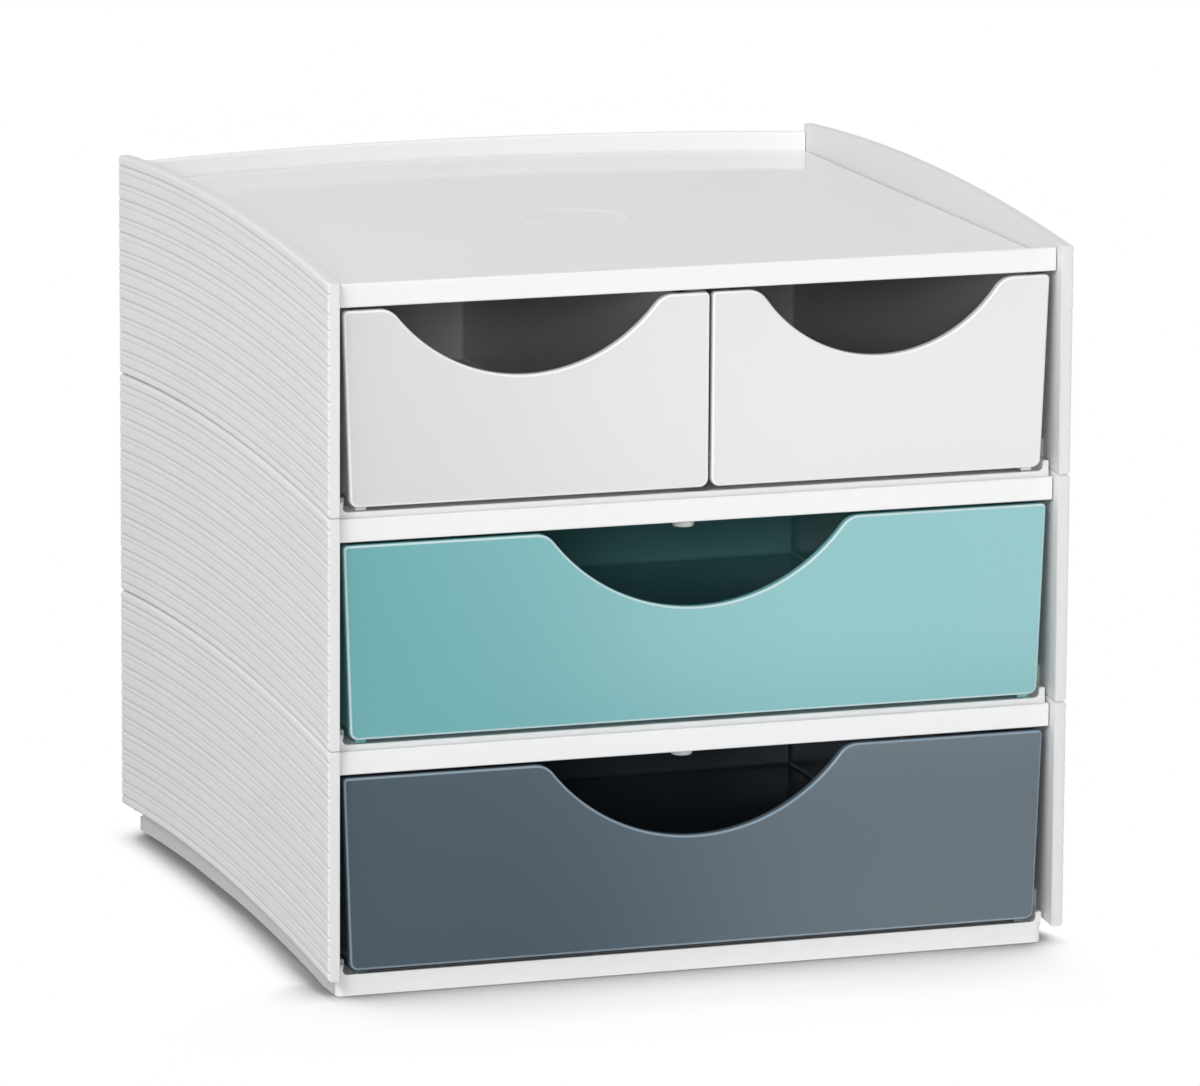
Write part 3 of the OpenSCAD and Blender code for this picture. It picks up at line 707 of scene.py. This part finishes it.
def peg(node, level, x):
    """Round stop peg under a plate. Its stem ends inside the plate, which closes over it."""
    bm = bmesh.new()
    rod(bm, x, PLATE_LOW - PEG_H / 2, PEG_D, PEG_H, 48)
    soften(bm, edges_where(bm, lambda c: c.z < PLATE_LOW - PEG_H + NEAR), PEG_ROUND, 4)
    rod(bm, x, PLATE_LOW + PLATE_T / 2 - STEM_SINK, STEM_D, PLATE_T, 32)
    piece(bm, node + "_turned", level, node, grey_abs)


def centre_guide():
    """Channel section, open below, that the boxes of the half-width drawers run beside."""
    bm = bmesh.new()
    half = CENTRE_GAP / 2 + CHANNEL - PLAY
    arc_z = FLOOR + GUIDE_H - GUIDE_ROUND
    first = v = bm.verts.new((CENTRE - half, GUIDE_FRONT, FLOOR))
    v = line_to(bm, v, z=arc_z)
    v = turn(bm, v, CENTRE - half + GUIDE_ROUND, arc_z, 90, 4)
    v = line_to(bm, v, x=CENTRE + half - GUIDE_ROUND)
    v = turn(bm, v, CENTRE + half - GUIDE_ROUND, arc_z, 90, 4)
    for x, z in ((half, 0), (half - GUIDE_T, 0), (half - GUIDE_T, GUIDE_H - GUIDE_T),
                 (GUIDE_T - half, GUIDE_H - GUIDE_T), (GUIDE_T - half, 0)):
        v = line_to(bm, v, x=CENTRE + x, z=FLOOR + z)
    close(bm, v, first, (0, GUIDE_LEN, 0))
    piece(bm, "centre_guide_rail", MIDDLE, "centre_guide", white_abs)


peg("peg_bottom", BOTTOM, 0)
peg("peg_middle", MIDDLE, 0)
peg("peg_top", TOP, CENTRE)
centre_guide()


# ---- Floor, light and camera, in metres ----------------------------------------------------------
# Reach of the contact shadow beside the cabinet and in front of it, and the two places between which
# it widens. It fades out at the right, where it keeps a tenth of its reach.
SHADOW_REACH = (0.015, 0.09)
SHADOW_WIDENS = (-0.11, -0.17)
SHADOW_FADES = (0.12, 0.14)
SHADOW_KEEPS = 0.1
# Tone of the paper, from a place that is closed in (0) to an open one (1)
SHADOW_TONES = [(0.1, 0.1), (0.45, 0.3), (0.585, 0.66), (0.67, 0.8), (0.75, 0.9), (0.88, 0.985), (1.0, 1.0)]
# Light cards on the paper, which only gloss mirrors: strength, the slant of the line on which they
# begin, where they rise across it, and their share in rows from the cabinet's middle to 1.4 m in front
CARD_LIGHT, CARD_SLANT, CARD_RISE, CARD_END = 6.6, 0.27, (-0.106, 0.044), -1.4
CARD_ROWS = [(0.0, 0.22), (0.14, 0.22), (0.33, 0.15), (0.43, 0.76), (0.51, 0.55), (0.62, 0.28), (0.71, 0.85),
             (0.8, 1.0), (0.95, 0.45)]
# The room's light on the pieces, and as gloss mirrors it
ROOM_LIGHT, ROOM_MIRRORED = 0.38, 0.715
FLOOR_HALF = 12
# Softboxes: name, place, aim, size, watts, and whether gloss mirrors them
LIGHTS = (
    ("softbox_low", (-1.15, -3.3, 0.87), (0, 0, 0.12), (0.6, 0.4), 20.5, True),
    ("softbox_front", (-1.75, -2.1, 1.7), (0, 0, 0.12), (1.0, 0.8), 31.5, False),
    ("softbox_left", (-1.7, -0.5, 1.25), (0, 0, 0.12), (0.9, 0.9), 7, True),
    ("softbox_overhead", (0.1, -0.1, 1.5), (0, 0, 0.2), (0.9, 0.9), 2.4, True),
    ("softbox_back", (1.3, 3.7, 1.1), (0, 0, 0.12), (1.2, 1.0), 38, False),
)
# The photograph's own view, fitted to its corners: a long lens, low and from the left
PHOTO_WIDTH, FOCAL_PIXELS, SENSOR = 1200, 8711.75, 36
AZIMUTH, ELEVATION, ROLL = (math.radians(a) for a in (-18.766, 11.5302, 0.3439))
CAMERA_PLACE = (-0.95534, -2.84123, 0.73377)


def white_paper():
    """White paper that stays white to the camera, save for the contact shadow."""
    mat = bpy.data.materials.new("white_paper_sweep")
    mat.use_nodes = True
    tree = mat.node_tree
    tree.nodes.clear()
    path = add(tree, "ShaderNodeLightPath")
    place = add(tree, "ShaderNodeTexCoord").outputs["Object"]
    axes = add(tree, "ShaderNodeSeparateXYZ", [("Vector", place)])
    # What the camera sees: a soft contact shadow, wide in front and hardly any on the right
    reach = add(tree, "ShaderNodeMapRange", [("Value", axes.outputs["Y"])],
                From_Min=SHADOW_WIDENS[0], From_Max=SHADOW_WIDENS[1],
                To_Min=SHADOW_REACH[0], To_Max=SHADOW_REACH[1])
    share = add(tree, "ShaderNodeMapRange", [("Value", axes.outputs["X"])],
                From_Min=SHADOW_FADES[0], From_Max=SHADOW_FADES[1], To_Min=1.0, To_Max=SHADOW_KEEPS)
    width = add(tree, "ShaderNodeMath", [(0, reach.outputs["Result"]), (1, share.outputs["Result"])],
                operation="MULTIPLY")
    near = add(tree, "ShaderNodeAmbientOcclusion", [("Distance", width.outputs[0])], samples=16)
    shadow = add(tree, "ShaderNodeValToRGB", [("Fac", near.outputs["AO"])])
    seen = add(tree, "ShaderNodeEmission", [("Color", shadow.outputs["Color"])], Strength=1.0)
    # What glossy faces mirror: light cards on the paper, which begin softly from the left
    across = add(tree, "ShaderNodeMath", [(0, axes.outputs["Y"]), (2, axes.outputs["X"])],
                 operation="MULTIPLY_ADD")
    across.inputs[1].default_value = CARD_SLANT
    rise = add(tree, "ShaderNodeMapRange", [("Value", across.outputs[0])], interpolation_type="SMOOTHSTEP",
               From_Min=CARD_RISE[0], From_Max=CARD_RISE[1], To_Min=0.0, To_Max=CARD_LIGHT)
    ahead = add(tree, "ShaderNodeMapRange", [("Value", axes.outputs["Y"])], From_Min=0.0, From_Max=CARD_END)
    cards = add(tree, "ShaderNodeValToRGB", [("Fac", ahead.outputs["Result"])])
    glow = add(tree, "ShaderNodeMath", [(0, rise.outputs["Result"]), (1, cards.outputs["Color"])],
               operation="MULTIPLY")
    card = add(tree, "ShaderNodeEmission", [("Strength", glow.outputs[0])], Color=(1, 1, 1, 1))
    for ramp, rows in ((shadow, SHADOW_TONES), (cards, CARD_ROWS)):
        stops = ramp.color_ramp.elements
        stops[0].position, stops[1].position = rows[0][0], rows[-1][0]
        for at, tone in rows[1:-1]:
            stops.new(at)
        for stop, (at, tone) in zip(stops, rows):
            stop.color = (tone, tone, tone, 1)
    # What lights up the pieces: plain matt paper
    lit = add(tree, "ShaderNodeBsdfDiffuse", Color=linear("#f2f2f2"))
    other = add(tree, "ShaderNodeMixShader",
                [("Fac", path.outputs["Is Glossy Ray"]), (1, lit.outputs[0]), (2, card.outputs[0])])
    both = add(tree, "ShaderNodeMixShader",
               [("Fac", path.outputs["Is Camera Ray"]), (1, other.outputs[0]), (2, seen.outputs[0])])
    add(tree, "ShaderNodeOutputMaterial", [("Surface", both.outputs[0])])
    return mat


def stage_floor():
    """Wide sheet of paper under the cabinet, which isn't part of the object."""
    bm = bmesh.new()
    bmesh.ops.create_grid(bm, x_segments=1, y_segments=1, size=FLOOR_HALF)
    mesh = bpy.data.meshes.new("floor")
    bm.to_mesh(mesh)
    bm.free()
    mesh.materials.append(white_paper())
    floor = bpy.data.objects.new("floor", mesh)
    bpy.context.scene.collection.objects.link(floor)


def soft_light(name, place, aim, size, power, mirrored_too):
    """Rectangular softbox at a place, turned to its aim."""
    data = bpy.data.lights.new(name, "AREA")
    data.shape = "RECTANGLE"
    data.size, data.size_y = size
    data.energy = power
    lamp = bpy.data.objects.new(name, data)
    lamp.location = place
    lamp.rotation_euler = (Vector(aim) - Vector(place)).to_track_quat("-Z", "Y").to_euler()
    lamp.visible_glossy = mirrored_too
    bpy.context.scene.collection.objects.link(lamp)


def studio():
    """A white room, which the pieces see dimmer than the camera does."""
    world = bpy.data.worlds.new("studio")
    bpy.context.scene.world = world
    world.use_nodes = True
    tree = world.node_tree
    tree.nodes.clear()
    path = add(tree, "ShaderNodeLightPath")
    room = add(tree, "ShaderNodeBackground", Color=(1, 1, 1, 1), Strength=ROOM_LIGHT)
    horizon = add(tree, "ShaderNodeBackground", Color=(1, 1, 1, 1), Strength=ROOM_MIRRORED)
    paper = add(tree, "ShaderNodeBackground", Color=(1, 1, 1, 1), Strength=1.0)
    unseen = add(tree, "ShaderNodeMixShader",
                 [("Fac", path.outputs["Is Glossy Ray"]), (1, room.outputs[0]), (2, horizon.outputs[0])])
    whole = add(tree, "ShaderNodeMixShader",
                [("Fac", path.outputs["Is Camera Ray"]), (1, unseen.outputs[0]), (2, paper.outputs[0])])
    add(tree, "ShaderNodeOutputWorld", [("Surface", whole.outputs[0])])


def photo_camera():
    """Camera at the photograph's place, with the lens, aim and small roll that its corners gave."""
    data = bpy.data.cameras.new("camera")
    data.sensor_fit = "HORIZONTAL"
    data.sensor_width = SENSOR
    data.lens = SENSOR * FOCAL_PIXELS / PHOTO_WIDTH
    data.clip_end = 40
    camera = bpy.data.objects.new("camera", data)
    bpy.context.scene.collection.objects.link(camera)
    look_back = Vector((math.sin(AZIMUTH) * math.cos(ELEVATION), -math.cos(AZIMUTH) * math.cos(ELEVATION),
                        math.sin(ELEVATION)))
    right = Vector((0, 0, 1)).cross(look_back).normalized()
    up = look_back.cross(right)
    turned = Matrix((math.cos(ROLL) * right + math.sin(ROLL) * up,
                     -math.sin(ROLL) * right + math.cos(ROLL) * up, look_back)).transposed().to_4x4()
    camera.matrix_world = Matrix.Translation(CAMERA_PLACE) @ turned
    bpy.context.scene.camera = camera


stage_floor()
for light in LIGHTS:
    soft_light(*light)
studio()
photo_camera()
bpy.context.scene.view_settings.view_transform = "Standard"
